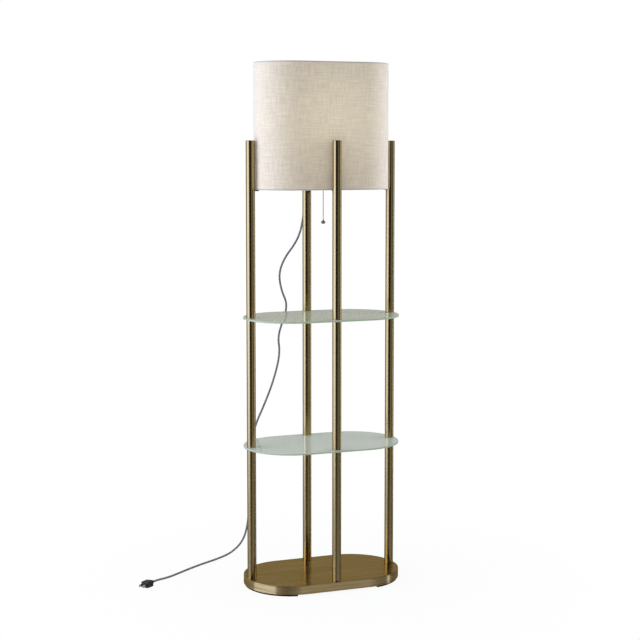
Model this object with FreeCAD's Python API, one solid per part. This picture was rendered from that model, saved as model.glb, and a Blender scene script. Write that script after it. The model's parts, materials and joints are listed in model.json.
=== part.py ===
"""Shelf floor lamp: a round-ended weighted base, four brass posts, two glass shelves and a linen shade.

Millimetres, +Z up. The origin is on the floor under the middle of the base. X runs along the long axis
of the base, and the front post stands at -Y. Each post is three tubes, screwed together through the glass.
"""
import FreeCAD
import Part
import math
import os

# ---- Posts: four tubes round the middle, each in three lengths ----
TUBE_OD = 25.4
TUBE_WALL = 1.2
POST_HALF_X = 210.8
POST_HALF_Y = 118.3
LOWER_TUBE = 366.8
MIDDLE_TUBE = 358.4
UPPER_TUBE = 490.8
TUBE_BREAK = 0.3
INSERT_LENGTH = 12.0
INSERT_CLEARANCE = 0.05
THREAD_D = 10.0
THREAD_CLEARANCE = 0.05
THREAD_CHAMFER = 0.8
CAP_FLANGE = 2.0
CAP_EDGE = 0.9
CAP_PLUG = 10.0
CAP_WALL = 1.6

# ---- Base: pan, casting, bottom plate and two foot pads ----
BASE_MARGIN = 5.0
BASE_HEIGHT = 24.5
BASE_SKIN = 1.5
BASE_EDGE = 1.2
PAD_THICKNESS = 5.0
PAD_INSET = 3.0
PAD_CHORD_X = 120.0
PAD_EDGE = 0.8
CASTING_GAP = 0.5
CASTING_WEB = 5.0
CASTING_RIM = 14.0
CASTING_BOSS_D = 32.0
CASTING_RIB = 8.0
CASTING_RIB_X = 92.0
BOTTOM_PLATE = 1.0
COUNTERBORE_D = 21.0
BOLT_SEAT = 12.0
BOLT_HEAD_AF = 16.0
BOLT_HEAD = 6.4
BOLT_WASHER_D = 20.0
BOLT_WASHER = 2.0
BOLT_HOLE_D = 11.0
PLATE_SCREW_D = 4.0
PLATE_SCREW_LENGTH = 11.0
PLATE_SCREW_HEAD_D = 8.0
PLATE_SCREW_HEAD = 2.4
PLATE_SCREW_X = 72.0
PLATE_SCREW_CLEARANCE = 0.1
PLATE_SCREW_EDGE = 1.4
PLATE_SCREW_SLOT = 4.6
PLATE_SCREW_SLOT_WIDTH = 1.0
PLATE_SCREW_SLOT_DEPTH = 1.2

# ---- Shelves ----
SHELF_MARGIN = 4.0
GLASS = 5.0
GLASS_EDGE = 1.2
GLASS_HOLE_D = 12.0
GASKET = 0.8
GASKET_D = 24.6
STUD_END_GAP = 1.5

# ---- Shade ----
SHADE_BOTTOM = 1124.2
SHADE_HEIGHT = 351.8
SHADE_GAP = 3.0
SHADE_WALL = 1.2
SHADE_RING_D = 3.0
SHADE_REST_GAP = 0.3

# ---- Carrier: a hub plate with four cranked arms let into the posts ----
ARM_WIDTH = 12.0
ARM_THICKNESS = 3.0
ARM_LET_IN = 4.0
ARM_RISE = 20.0
ARM_CRANK = 45.0
ARM_BEND = 2.0
ARM_INNER_R = 9.0
ARM_LOCATING_GAP = 1.0
SLOT_CLEARANCE = 0.15
HUB_D = 36.0
HUB_THICKNESS = 3.0
RIVET_R = 13.5
RIVET_D = 4.0
RIVET_HEAD_D = 7.0
RIVET_HEAD = 1.8
RIVET_CLEARANCE = 0.05

# ---- Socket and bulb, heights above the seat of the socket ----
NIPPLE_D = 9.8
NIPPLE_BORE = 6.6
NIPPLE_CLEARANCE = 0.1
NIPPLE_REACH = 6.0
NIPPLE_BEYOND_NUT = 1.0
NIPPLE_EDGE = 0.5
LOCK_NUT_AF = 14.0
LOCK_NUT = 4.0
SPACER_D = 16.0
SPACER_RISE = 1.5
SOCKET_CAP_R = 18.6
SOCKET_METAL = 0.8
SOCKET_CAP_NECK_R = 8.0
SOCKET_CAP_NECK = 4.0
SOCKET_CAP_SHOULDER = 13.0
SOCKET_CAP_HEIGHT = 19.0
SOCKET_BULGE_OUT = 0.74
SOCKET_BULGE_UP = 0.32
SOCKET_BULGE_INSET = 0.8
SOCKET_SHOULDER_INSET = 0.3
SOCKET_FIT = 0.1
SHELL_START = 14.5
SHELL_TOP = 59.0
SHELL_BEAD = 0.8
LINER_WALL = 0.6
INTERIOR_BOTTOM = 18.0
INTERIOR_TOP = 36.0
INTERIOR_GAP = 0.3
INTERIOR_STEP = 2.5
CONTACT_D = 8.0
CONTACT_HEIGHT = 2.0
THREAD_ROOT_R = 12.5
THREAD_RISE = 0.8
THREAD_PITCH = 3.63
THREAD_TURN_COUNT = 5
SCREW_SHELL_METAL = 0.4
SCREW_FIT = 0.15
BULB_R = 30.0
BULB_NECK_R = 14.2
BULB_LENGTH = 84.0
BULB_GLASS = 0.8
BULB_COLLAR = 4.0
BULB_TIP = 1.0
BULB_TIP_SHARE = 0.45
BULB_NECK = 14.0
BULB_JOIN_ANGLE = 28.0
BULB_CROWN_ANGLE = 40.0
BULB_FLARE_OUT = 0.36
BULB_FLARE_UP = 0.54

# ---- Pull chain ----
CHAIN_OFFSET = 29.6
CHAIN_ANGLE = 59.5
GUIDE_HEIGHT = 27.0
GUIDE_OD = 6.2
GUIDE_BORE = 4.6
GUIDE_START_R = 13.8
GUIDE_BEND = 8.0
GUIDE_DROP = 12.5
GUIDE_LIP_D = 8.8
GUIDE_LIP = 2.2
GUIDE_HOLE_CLEARANCE = 0.2
GUIDE_END_GAP = 0.3
GUIDE_LIP_HOLLOW = 0.3
BEAD_D = 3.2
BEAD_PITCH = 4.4
BEAD_WIRE_D = 0.7
STEM_BEAD_COUNT = 4
COUPLING_OD = 5.0
COUPLING_BORE = 3.9
COUPLING_MOUTH_D = 2.6
COUPLING_PITCH = 4.6
COUPLING_GAP = 0.8
KNOB_D = 12.6
KNOB_HEIGHT = 9.4
KNOB_NECK_D = 4.6
KNOB_NECK = 2.4
KNOB_BELLY_OUT = 0.7
KNOB_BELLY_UP = 0.72
CHAIN_DROP = 114.7

# ---- Lead inside the lamp, from the rear post to the socket ----
LEAD_D = 5.0
CORD_EXIT_DROP = 46.2
LEAD_UNDER_ARM = 3.2
LEAD_BEND = 8.0
LEAD_LAST_BEND = 4.0
LEAD_OUT = 7.0
LEAD_SIDE_GAP = 0.4
LEAD_NEAR_HUB = 36.0
LEAD_CLIMB_IN = 0.5
LEAD_CLIMB_UP = 0.4
LEAD_CLIMB_END = 1.1
LEAD_ENTRY_ANGLE = 110.0
LEAD_ENTRY_HEIGHT = 9.0
LEAD_TURN_R = 7.5
LEAD_EASE = 0.33
BUSH_FLANGE_D = 11.0
BUSH_FLANGE = 1.2
BUSH_EDGE = 0.4
BUSH_NECK_D = 8.0
BUSH_CLEARANCE = 0.1
BUSH_LEAD_CLEARANCE = 0.1
BUSH_BEYOND_WALL = 1.0
CLIP_WALL = 1.2
CLIP_WIDTH = 4.0
CLIP_TAB = 10.0
CLIP_SHARES = (0.2, 0.8)

# ---- Cord, strain relief and plug ----
CORD_D = 6.0
CORD_EASE = 0.45
CORD_EXIT_TURN = 14.0
RELIEF_LENGTH = 20.0
RELIEF_FLANGE_D = 15.0
RELIEF_FLANGE = 2.0
RELIEF_ROOT_D = 11.5
RELIEF_TIP_D = 7.6
RELIEF_RIB_COUNT = 4
RELIEF_GROOVE = 0.7
RELIEF_GROOVE_START = 0.6
RELIEF_GROOVE_SHARE = 0.35
RELIEF_BEYOND_WALL = 1.5
PLUG_NECK = 14.0
PLUG_NECK_FLARE_D = 15.0
PLUG_NECK_FLARE_AT = 9.8
PLUG_NECK_END_D = 20.0
PLUG_NECK_IN = 4.0
PLUG_LENGTH = 24.0
PLUG_WIDTH = 25.0
PLUG_HEIGHT = 17.0
PLUG_EDGE = 3.0
PLUG_BACK_EDGE = 1.5
PLUG_FACE = 3.0
PLUG_GRIP_COUNT = 3
PLUG_GRIP_R = 1.6
PLUG_GRIP_OUT = 0.6
BLADE_SPACING = 12.7
BLADE_LENGTH = 17.0
BLADE_HEIGHT = 6.35
BLADE_THICKNESS = 1.5
BLADE_HOLE_D = 3.2
BLADE_HOLE_IN = 4.5
BLADE_TIP = 1.0
WIDE_BLADE = 1.25
BLADE_HELD = 6.0

# The free cord's route: behind the rear post, down past both shelves, over the floor to the plug.
CORD_POINTS = [
    (7.91, 150.03, 1078),
    (12.26, 167.49, 1078),
    (15.9, 182, 1069),
    (17.5, 191, 1053.5),
    (15.5, 194.5, 1028),
    (6, 191, 991),
    (-12, 188, 958),
    (-45, 187, 918),
    (-63, 186, 873),
    (-57, 181, 825),
    (-38, 178, 781),
    (-54, 180, 731),
    (-67, 184, 686),
    (-58, 189, 637),
    (-74, 198, 560),
    (-98, 213, 486),
    (-126, 231, 412),
    (-130, 251, 332),
    (-127, 276, 250),
    (-120, 298, 170),
    (-117, 322, 95),
    (-128, 336, 42),
    (-166, 331, 11),
    (-219, 307, 3),
    (-277, 271, 3),
    (-340, 225, 3),
    (-396, 179, 3),
    (-428, 154, 5.5),
    (-450, 137.5, 8.5),
    (-466, 125.5, 8.5),
]

# ---- Numbers of the drawing itself ----
NEAR = 1e-4
SAME_POINT = 1e-6
QUARTER_ROUND_IN = 1 - math.sqrt(0.5)

# ---- Worked-out places ----
TUBE_R = TUBE_OD / 2
TUBE_BORE_R = TUBE_R - TUBE_WALL
BASE_TOP = PAD_THICKNESS + BASE_HEIGHT
LOWER_TOP = BASE_TOP + LOWER_TUBE
LOWER_GLASS = LOWER_TOP + GASKET
MIDDLE_FOOT = LOWER_GLASS + GLASS + GASKET
MIDDLE_TOP = MIDDLE_FOOT + MIDDLE_TUBE
UPPER_GLASS = MIDDLE_TOP + GASKET
UPPER_FOOT = UPPER_GLASS + GLASS + GASKET
UPPER_TOP = UPPER_FOOT + UPPER_TUBE
LUG_TOP = SHADE_BOTTOM - SHADE_REST_GAP
LUG_BOTTOM = LUG_TOP - ARM_THICKNESS
ARM_TOP = LUG_TOP + ARM_RISE
ARM_BOTTOM = ARM_TOP - ARM_THICKNESS
HUB_BOTTOM = ARM_BOTTOM - HUB_THICKNESS
SOCKET_SEAT = ARM_TOP + SPACER_RISE
SHELL_R = SOCKET_CAP_R - SOCKET_METAL - SOCKET_FIT
INTERIOR_R = SHELL_R - SOCKET_METAL - LINER_WALL - INTERIOR_GAP
BULB_SEAT = SOCKET_SEAT + INTERIOR_TOP + CONTACT_HEIGHT
THREAD_LENGTH = THREAD_TURN_COUNT * THREAD_PITCH
GUIDE_MOUTH = SOCKET_SEAT + GUIDE_HEIGHT - GUIDE_BEND - GUIDE_DROP
COUPLING_MOUTH_R = COUPLING_MOUTH_D / 2
COUPLING_END = math.sqrt((COUPLING_OD / 2) ** 2 - COUPLING_MOUTH_R ** 2)
SWING_X_HEIGHT = GUIDE_MOUTH - COUPLING_GAP - COUPLING_END
SWING_Y_HEIGHT = SWING_X_HEIGHT - COUPLING_PITCH
KNOB_MIDDLE = SWING_Y_HEIGHT - CHAIN_DROP
CORD_EXIT = SHADE_BOTTOM - CORD_EXIT_DROP
LEAD_HEIGHT = LUG_BOTTOM - LEAD_UNDER_ARM - LEAD_D / 2

# Each post stands at its own distance from the middle, turned by its angle about +Z.
POSTS = {
    "right": (0, POST_HALF_X),
    "rear": (90, POST_HALF_Y),
    "left": (180, POST_HALF_X),
    "front": (270, POST_HALF_Y),
}


def vec(x, y, z):
    return FreeCAD.Vector(x, y, z)


def cylinder(radius, low, high, x=0, y=0):
    return Part.makeCylinder(radius, high - low, vec(x, y, low))


def box(x0, x1, y0, y1, z0, z1):
    return Part.makeBox(x1 - x0, y1 - y0, z1 - z0, vec(x0, y0, z0))


def turned(shape, angle):
    """The shape turned about +Z through the origin."""
    copy = shape.copy()
    copy.rotate(vec(0, 0, 0), vec(0, 0, 1), angle)
    return copy


def turned_heading(angle):
    """The level unit vector at this angle from +X."""
    return vec(math.cos(math.radians(angle)), math.sin(math.radians(angle)), 0)


def saddle_depth(radius, wall_r):
    """How far a flange of this radius has to reach back to meet a round wall at its sides."""
    return wall_r - math.sqrt(wall_r ** 2 - radius ** 2)


def post_points():
    """The four post centres on the floor plane."""
    return [
        (distance * math.cos(math.radians(angle)), distance * math.sin(math.radians(angle)))
        for angle, distance in POSTS.values()
    ]


def revolved(start, *steps):
    """A closed (radius, height) outline turned about +Z. A step of four numbers is an arc through a point."""
    edges = []
    here = vec(start[0], 0, start[1])
    first = here
    for step in steps + (start,):
        there = vec(step[-2], 0, step[-1])
        if len(step) == 4:
            edges.append(Part.Arc(here, vec(step[0], 0, step[1]), there).toShape())
        elif (there - here).Length > SAME_POINT:
            edges.append(Part.LineSegment(here, there).toShape())
        here = there
    assert (here - first).Length < SAME_POINT
    face = Part.Face(Part.Wire(edges))
    return face.revolve(vec(0, 0, 0), vec(0, 0, 1), 360)


def stadium_wire(half_length, end_r, z):
    """A round-ended outline: two straight sides and two half circles of end_r."""
    flat = half_length - end_r
    right = Part.Arc(vec(flat, -end_r, z), vec(half_length, 0, z), vec(flat, end_r, z))
    left = Part.Arc(vec(-flat, end_r, z), vec(-half_length, 0, z), vec(-flat, -end_r, z))
    front = Part.LineSegment(vec(-flat, -end_r, z), vec(flat, -end_r, z))
    rear = Part.LineSegment(vec(flat, end_r, z), vec(-flat, end_r, z))
    return Part.Wire([front.toShape(), right.toShape(), rear.toShape(), left.toShape()])


def stadium(half_length, end_r, low, high):
    return Part.Face(stadium_wire(half_length, end_r, low)).extrude(vec(0, 0, high - low))


def hexagon(across_flats, low, high, x=0, y=0):
    corner_r = across_flats / math.sqrt(3)
    corners = [
        vec(x, y, low) + turned_heading(60 * i) * corner_r
        for i in range(7)
    ]
    return Part.Face(Part.makePolygon(corners)).extrude(vec(0, 0, high - low))


def edges_at_height(shape, height):
    """The edges that lie wholly in the plane z = height."""
    return [
        edge for edge in shape.Edges
        if abs(edge.BoundBox.ZMin - height) < NEAR and abs(edge.BoundBox.ZMax - height) < NEAR
    ]


def dome_middle(radius, low, height):
    """A point halfway up a dome's outline, whose arc is centred on the axis. A negative height hangs down."""
    sphere_r = (radius ** 2 + height ** 2) / (2 * abs(height))
    half = math.asin(radius / sphere_r) / 2
    drop = math.copysign(sphere_r * (1 - math.cos(half)), height)
    return sphere_r * math.sin(half), low + height - drop


def arc_middle(radius, end_r):
    """The middle of an arc about the axis, from the full radius to where it narrows to end_r, as (out, up)."""
    half = math.acos(end_r / radius) / 2
    return radius * math.cos(half), radius * math.sin(half)


def threaded_rod(diameter, low, high):
    """A plain shank with both ends chamfered."""
    r = diameter / 2
    c = THREAD_CHAMFER
    return revolved((0, low), (r - c, low), (r, low + c), (r, high - c), (r - c, high), (0, high))


def rounded_route(points, bends):
    """Straight runs between the points, each corner an arc of its own bend radius."""
    spots = [vec(*p) for p in points]
    edges = []
    here = spots[0]
    for before, corner, after, bend in zip(spots, spots[1:], spots[2:], bends):
        to_corner = (corner - before).normalize()
        from_corner = (after - corner).normalize()
        half = to_corner.getAngle(from_corner) / 2
        setback = bend * math.tan(half)
        start = corner - to_corner * setback
        end = corner + from_corner * setback
        inward = (from_corner - to_corner).normalize()
        middle = corner + inward * (bend / math.cos(half) - bend)
        if (start - here).Length > SAME_POINT:
            edges.append(Part.LineSegment(here, start).toShape())
        edges.append(Part.Arc(start, middle, end).toShape())
        here = end
    edges.append(Part.LineSegment(here, spots[-1]).toShape())
    return Part.Wire(edges)


def easy_bends(points, share):
    """At each corner, the radius whose arc uses this share of its shorter run."""
    spots = [vec(*p) for p in points]
    runs = [b - a for a, b in zip(spots, spots[1:])]
    bends = []
    for run_in, run_out in zip(runs, runs[1:]):
        half = run_in.getAngle(run_out) / 2
        bends.append(share * min(run_in.Length, run_out.Length) / math.tan(half))
    return bends


def tube_along(route, diameter):
    """A solid round section carried along a route."""
    start = route.Edges[0]
    heading = start.tangentAt(start.FirstParameter)
    section = Part.Wire(Part.Circle(route.Vertexes[0].Point, heading, diameter / 2).toShape())
    return route.makePipeShell([section], True, False)


# ---- Base ----

def base_half_sizes(inset=0.0):
    """Half length and end radius of the base outline, drawn in by the inset."""
    reach = TUBE_R + BASE_MARGIN - inset
    return POST_HALF_X + reach, POST_HALF_Y + reach


def base_cover():
    pan = stadium(*base_half_sizes(), PAD_THICKNESS, BASE_TOP)
    pan = pan.makeFillet(BASE_EDGE, edges_at_height(pan, BASE_TOP))
    pan = pan.cut(stadium(*base_half_sizes(BASE_SKIN), PAD_THICKNESS, BASE_TOP - BASE_SKIN))
    for x, y in post_points():
        pan = pan.cut(cylinder(BOLT_HOLE_D / 2, PAD_THICKNESS, BASE_TOP, x, y))
    return pan


def plate_screw_points():
    """Screws through the bottom plate into the middle of the casting's rim, beside the flat sides."""
    y = base_half_sizes(BASE_SKIN + CASTING_GAP + CASTING_RIM / 2)[1]
    return [(sx * PLATE_SCREW_X, sy * y) for sx in (-1, 1) for sy in (-1, 1)]


def base_casting():
    """Cast-iron ballast: a web under the pan's top, a deep rim, ribs and a boss at each post."""
    low = PAD_THICKNESS + BOTTOM_PLATE
    high = BASE_TOP - BASE_SKIN
    outline = base_half_sizes(BASE_SKIN + CASTING_GAP)
    inside = base_half_sizes(BASE_SKIN + CASTING_GAP + CASTING_RIM)
    block = stadium(*outline, low, high)
    hollow = stadium(*inside, low, high - CASTING_WEB)
    for x, y in post_points():
        hollow = hollow.cut(cylinder(CASTING_BOSS_D / 2, low, high, x, y))
    half_rib = CASTING_RIB / 2
    hollow = hollow.cut(box(-inside[0], inside[0], -half_rib, half_rib, low, high))
    for x in (-CASTING_RIB_X, 0, CASTING_RIB_X):
        hollow = hollow.cut(box(x - half_rib, x + half_rib, -inside[1], inside[1], low, high))
    block = block.cut(hollow)
    for x, y in post_points():
        block = block.cut(cylinder(BOLT_HOLE_D / 2, low, high, x, y))
        block = block.cut(cylinder(COUNTERBORE_D / 2, low, high - BOLT_SEAT, x, y))
    screw_r = PLATE_SCREW_D / 2 + PLATE_SCREW_CLEARANCE
    for x, y in plate_screw_points():
        block = block.cut(cylinder(screw_r, low, PAD_THICKNESS + PLATE_SCREW_LENGTH, x, y))
    return block


def base_bottom_plate():
    high = PAD_THICKNESS + BOTTOM_PLATE
    plate = stadium(*base_half_sizes(BASE_SKIN + CASTING_GAP), PAD_THICKNESS, high)
    for x, y in post_points():
        plate = plate.cut(cylinder(COUNTERBORE_D / 2, PAD_THICKNESS, high, x, y))
    for x, y in plate_screw_points():
        plate = plate.cut(cylinder(PLATE_SCREW_D / 2 + PLATE_SCREW_CLEARANCE, PAD_THICKNESS, high, x, y))
    return plate


def base_plate_screws():
    """Pan-head screws with a cross slot, the heads in the height that the foot pads give."""
    r = PLATE_SCREW_D / 2
    head_r = PLATE_SCREW_HEAD_D / 2
    head_z = PAD_THICKNESS - PLATE_SCREW_HEAD
    tip = PAD_THICKNESS + PLATE_SCREW_LENGTH - THREAD_CHAMFER
    edge = PLATE_SCREW_EDGE
    corner = QUARTER_ROUND_IN * edge
    screw = revolved(
        (0, head_z), (head_r - edge, head_z), (head_r - corner, head_z + corner, head_r, head_z + edge),
        (head_r, PAD_THICKNESS), (r, PAD_THICKNESS), (r, tip - THREAD_CHAMFER), (r - THREAD_CHAMFER, tip),
        (0, tip),
    )
    long, wide = PLATE_SCREW_SLOT / 2, PLATE_SCREW_SLOT_WIDTH / 2
    slot = box(-long, long, -wide, wide, head_z, head_z + PLATE_SCREW_SLOT_DEPTH)
    screw = screw.cut(slot.fuse(turned(slot, 90)))
    return Part.makeCompound([screw.translated(vec(x, y, 0)) for x, y in plate_screw_points()])


def base_bolts():
    """Hexagon bolts up through the casting and the pan into the lowest tubes."""
    seat = BASE_TOP - BASE_SKIN - BOLT_SEAT - BOLT_WASHER
    tip = BASE_TOP + INSERT_LENGTH - STUD_END_GAP
    bolts = []
    for x, y in post_points():
        head = hexagon(BOLT_HEAD_AF, seat - BOLT_HEAD, seat)
        shank = threaded_rod(THREAD_D, seat - THREAD_CHAMFER, tip)
        bolts.append(head.fuse(shank).removeSplitter().translated(vec(x, y, 0)))
    return Part.makeCompound(bolts)


def base_washers():
    high = BASE_TOP - BASE_SKIN - BOLT_SEAT
    low = high - BOLT_WASHER
    ring = cylinder(BOLT_WASHER_D / 2, low, high).cut(cylinder(THREAD_D / 2 + THREAD_CLEARANCE, low, high))
    return Part.makeCompound([ring.translated(vec(x, y, 0)) for x, y in post_points()])


def foot_pad(side):
    """A foam pad under one rounded end, cut straight across, with a hole for the bolt."""
    half_length, end_r = base_half_sizes(PAD_INSET)
    pad = stadium(half_length, end_r, 0, PAD_THICKNESS)
    far = half_length + PAD_INSET
    keep = sorted((side * PAD_CHORD_X, side * far))
    pad = pad.common(box(keep[0], keep[1], -end_r, end_r, 0, PAD_THICKNESS))
    pad = pad.makeFillet(PAD_EDGE, edges_at_height(pad, 0))
    return pad.cut(cylinder(COUNTERBORE_D / 2, 0, PAD_THICKNESS, side * POST_HALF_X, 0))


# ---- Posts ----

def plain_tube(low, high):
    """One length of post at the origin, with its outer edges broken."""
    tube = cylinder(TUBE_R, low, high)
    tube = tube.makeChamfer(TUBE_BREAK, edges_at_height(tube, low) + edges_at_height(tube, high))
    return tube.cut(cylinder(TUBE_BORE_R, low, high))


def placed_tube(post, low, high):
    angle, distance = POSTS[post]
    return turned(plain_tube(low, high).translated(vec(distance, 0, 0)), angle)


def upper_tube(post):
    """The top length of a post, slotted on its inner side for the arm that carries the shade."""
    angle, distance = POSTS[post]
    tube = plain_tube(UPPER_FOOT, UPPER_TOP).translated(vec(distance, 0, 0))
    half_width = ARM_WIDTH / 2 + SLOT_CLEARANCE
    inner_side = distance - TUBE_R
    tube = tube.cut(box(
        inner_side, distance - TUBE_BORE_R + half_width, -half_width, half_width,
        LUG_BOTTOM - SLOT_CLEARANCE, LUG_TOP + SLOT_CLEARANCE,
    ))
    if post == "rear":
        hole_r = BUSH_NECK_D / 2 + BUSH_CLEARANCE
        outward = turned_heading(-CORD_EXIT_TURN)
        tube = tube.cut(Part.makeCylinder(hole_r, TUBE_R, vec(distance, 0, CORD_EXIT), outward))
        tube = tube.cut(Part.makeCylinder(hole_r, TUBE_R, vec(inner_side, 0, LEAD_HEIGHT), vec(1, 0, 0)))
    return turned(tube, angle)


def tube_inserts():
    """Threaded steel plugs welded into every tube end but the capped ones."""
    plugs = []
    bore_r = THREAD_D / 2 + THREAD_CLEARANCE
    feet = (BASE_TOP, MIDDLE_FOOT, UPPER_FOOT)
    heads = (LOWER_TOP - INSERT_LENGTH, MIDDLE_TOP - INSERT_LENGTH)
    for low in feet + heads:
        high = low + INSERT_LENGTH
        plug = revolved(
            (bore_r + THREAD_CHAMFER, low), (TUBE_BORE_R - INSERT_CLEARANCE, low),
            (TUBE_BORE_R - INSERT_CLEARANCE, high), (bore_r + THREAD_CHAMFER, high),
            (bore_r, high - THREAD_CHAMFER), (bore_r, low + THREAD_CHAMFER),
        )
        plugs += [plug.translated(vec(x, y, 0)) for x, y in post_points()]
    return Part.makeCompound(plugs)


def post_caps():
    """Flush turned caps pressed into the open tops."""
    plug_r = TUBE_BORE_R - INSERT_CLEARANCE
    low = UPPER_TOP - CAP_PLUG
    high = UPPER_TOP + CAP_FLANGE
    roof = UPPER_TOP - CAP_WALL
    corner = QUARTER_ROUND_IN * CAP_EDGE
    cap = revolved(
        (0, roof), (plug_r - CAP_WALL, roof), (plug_r - CAP_WALL, low), (plug_r, low), (plug_r, UPPER_TOP),
        (TUBE_R, UPPER_TOP), (TUBE_R, high - CAP_EDGE),
        (TUBE_R - corner, high - corner, TUBE_R - CAP_EDGE, high), (0, high),
    )
    return Part.makeCompound([cap.translated(vec(x, y, 0)) for x, y in post_points()])


# ---- Shelves ----

def glass_shelf(low):
    reach = TUBE_R + SHELF_MARGIN
    glass = stadium(POST_HALF_X + reach, POST_HALF_Y + reach, low, low + GLASS)
    glass = glass.makeFillet(GLASS_EDGE, edges_at_height(glass, low) + edges_at_height(glass, low + GLASS))
    for x, y in post_points():
        glass = glass.cut(cylinder(GLASS_HOLE_D / 2, low, low + GLASS, x, y))
    return glass


def shelf_gaskets():
    """Clear washers above and below both glasses at every post."""
    rings = []
    for glass_low in (LOWER_GLASS, UPPER_GLASS):
        for low in (glass_low - GASKET, glass_low + GLASS):
            ring = cylinder(GASKET_D / 2, low, low + GASKET)
            ring = ring.cut(cylinder(THREAD_D / 2 + THREAD_CLEARANCE, low, low + GASKET))
            rings += [ring.translated(vec(x, y, 0)) for x, y in post_points()]
    return Part.makeCompound(rings)


def shelf_studs():
    """Threaded studs through both glasses, joining each tube below to the tube above."""
    reach = INSERT_LENGTH + GASKET - STUD_END_GAP
    studs = []
    for glass_low in (LOWER_GLASS, UPPER_GLASS):
        stud = threaded_rod(THREAD_D, glass_low - reach, glass_low + GLASS + reach)
        studs += [stud.translated(vec(x, y, 0)) for x, y in post_points()]
    return Part.makeCompound(studs)


# ---- Carrier ----

def carrier_arm(post):
    """A flat bar: let into its post, under the shade's rim, cranked up inside it, then in to the hub."""
    angle, distance = POSTS[post]
    outer = distance - TUBE_R + ARM_LET_IN
    ring_inside = distance - TUBE_R - SHADE_GAP - SHADE_WALL - SHADE_RING_D
    foot = ring_inside - ARM_LOCATING_GAP
    head = foot - ARM_RISE / math.tan(math.radians(ARM_CRANK))
    slip = ARM_THICKNESS * math.tan(math.radians(ARM_CRANK / 2))
    corners = [
        (outer, LUG_TOP), (foot, LUG_TOP), (head, ARM_TOP), (ARM_INNER_R, ARM_TOP),
        (ARM_INNER_R, ARM_BOTTOM), (head - slip, ARM_BOTTOM), (foot - slip, LUG_BOTTOM), (outer, LUG_BOTTOM),
    ]
    outline = Part.makePolygon([vec(x, -ARM_WIDTH / 2, z) for x, z in corners + corners[:1]])
    bar = Part.Face(outline).extrude(vec(0, ARM_WIDTH, 0))
    inside_bends = [corners[1], corners[5]]
    outside_bends = [corners[2], corners[6]]
    for spots, radius in ((inside_bends, ARM_BEND), (outside_bends, ARM_BEND + ARM_THICKNESS)):
        edges = [
            edge for edge in bar.Edges
            if any(math.hypot(edge.CenterOfMass.x - x, edge.CenterOfMass.z - z) < NEAR for x, z in spots)
        ]
        bar = bar.makeFillet(radius, edges)
    bar = bar.cut(cylinder(RIVET_D / 2 + RIVET_CLEARANCE, ARM_BOTTOM, ARM_TOP, RIVET_R))
    return turned(bar, angle)


def carrier_hub():
    hub = cylinder(HUB_D / 2, HUB_BOTTOM, ARM_BOTTOM)
    hub = hub.cut(cylinder(NIPPLE_D / 2 + NIPPLE_CLEARANCE, HUB_BOTTOM, ARM_BOTTOM))
    for angle, _ in POSTS.values():
        hub = hub.cut(turned(cylinder(RIVET_D / 2 + RIVET_CLEARANCE, HUB_BOTTOM, ARM_BOTTOM, RIVET_R), angle))
    return hub


def hub_rivets():
    r = RIVET_D / 2
    head_r = RIVET_HEAD_D / 2
    rivet = revolved(
        (0, HUB_BOTTOM - RIVET_HEAD), (*dome_middle(head_r, HUB_BOTTOM, -RIVET_HEAD), head_r, HUB_BOTTOM),
        (r, HUB_BOTTOM), (r, ARM_TOP), (head_r, ARM_TOP),
        (*dome_middle(head_r, ARM_TOP, RIVET_HEAD), 0, ARM_TOP + RIVET_HEAD),
    ).translated(vec(RIVET_R, 0, 0))
    return Part.makeCompound([turned(rivet, angle) for angle, _ in POSTS.values()])


# ---- Socket ----

def socket_nipple():
    low = HUB_BOTTOM - LOCK_NUT - NIPPLE_BEYOND_NUT
    high = SOCKET_SEAT + NIPPLE_REACH
    r = NIPPLE_D / 2
    e = NIPPLE_EDGE
    bore_r = NIPPLE_BORE / 2
    return revolved((bore_r, low), (r - e, low), (r, low + e), (r, high - e), (r - e, high), (bore_r, high))


def hub_lock_nut():
    nut = hexagon(LOCK_NUT_AF, HUB_BOTTOM - LOCK_NUT, HUB_BOTTOM)
    return nut.cut(cylinder(NIPPLE_D / 2 + NIPPLE_CLEARANCE, HUB_BOTTOM - LOCK_NUT, HUB_BOTTOM))


def socket_spacer():
    ring = cylinder(SPACER_D / 2, ARM_BOTTOM, SOCKET_SEAT)
    return ring.cut(cylinder(NIPPLE_D / 2 + NIPPLE_CLEARANCE, ARM_BOTTOM, SOCKET_SEAT))


def radial_cylinder(radius, start_r, end_r, height, angle):
    """A round bar along a radius of the lamp at a height above the socket seat."""
    bar = Part.makeCylinder(radius, end_r - start_r, vec(start_r, 0, SOCKET_SEAT + height), vec(1, 0, 0))
    return turned(bar, angle)


def socket_cap():
    """The spun lower half, with a side hole for the lead."""
    z = SOCKET_SEAT
    t = SOCKET_METAL
    hole_r = NIPPLE_D / 2 + NIPPLE_CLEARANCE
    neck = SOCKET_CAP_NECK_R
    wide = SOCKET_CAP_R
    neck_z = z + SOCKET_CAP_NECK
    shoulder_z = z + SOCKET_CAP_SHOULDER
    top = z + SOCKET_CAP_HEIGHT
    bulge_r = neck + SOCKET_BULGE_OUT * (wide - neck)
    bulge_z = neck_z + SOCKET_BULGE_UP * (shoulder_z - neck_z)
    inset = SOCKET_BULGE_INSET * t
    cap = revolved(
        (hole_r, z), (neck, z), (neck, neck_z), (bulge_r, bulge_z, wide, shoulder_z), (wide, top),
        (wide - t, top), (wide - t, shoulder_z + SOCKET_SHOULDER_INSET * t),
        (bulge_r - inset, bulge_z + inset, neck - t, neck_z + t), (neck - t, z + t), (hole_r, z + t),
    )
    entry_r = BUSH_NECK_D / 2 + BUSH_CLEARANCE
    return cap.cut(radial_cylinder(entry_r, neck, 2 * wide, LEAD_ENTRY_HEIGHT, LEAD_ENTRY_ANGLE))


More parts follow.
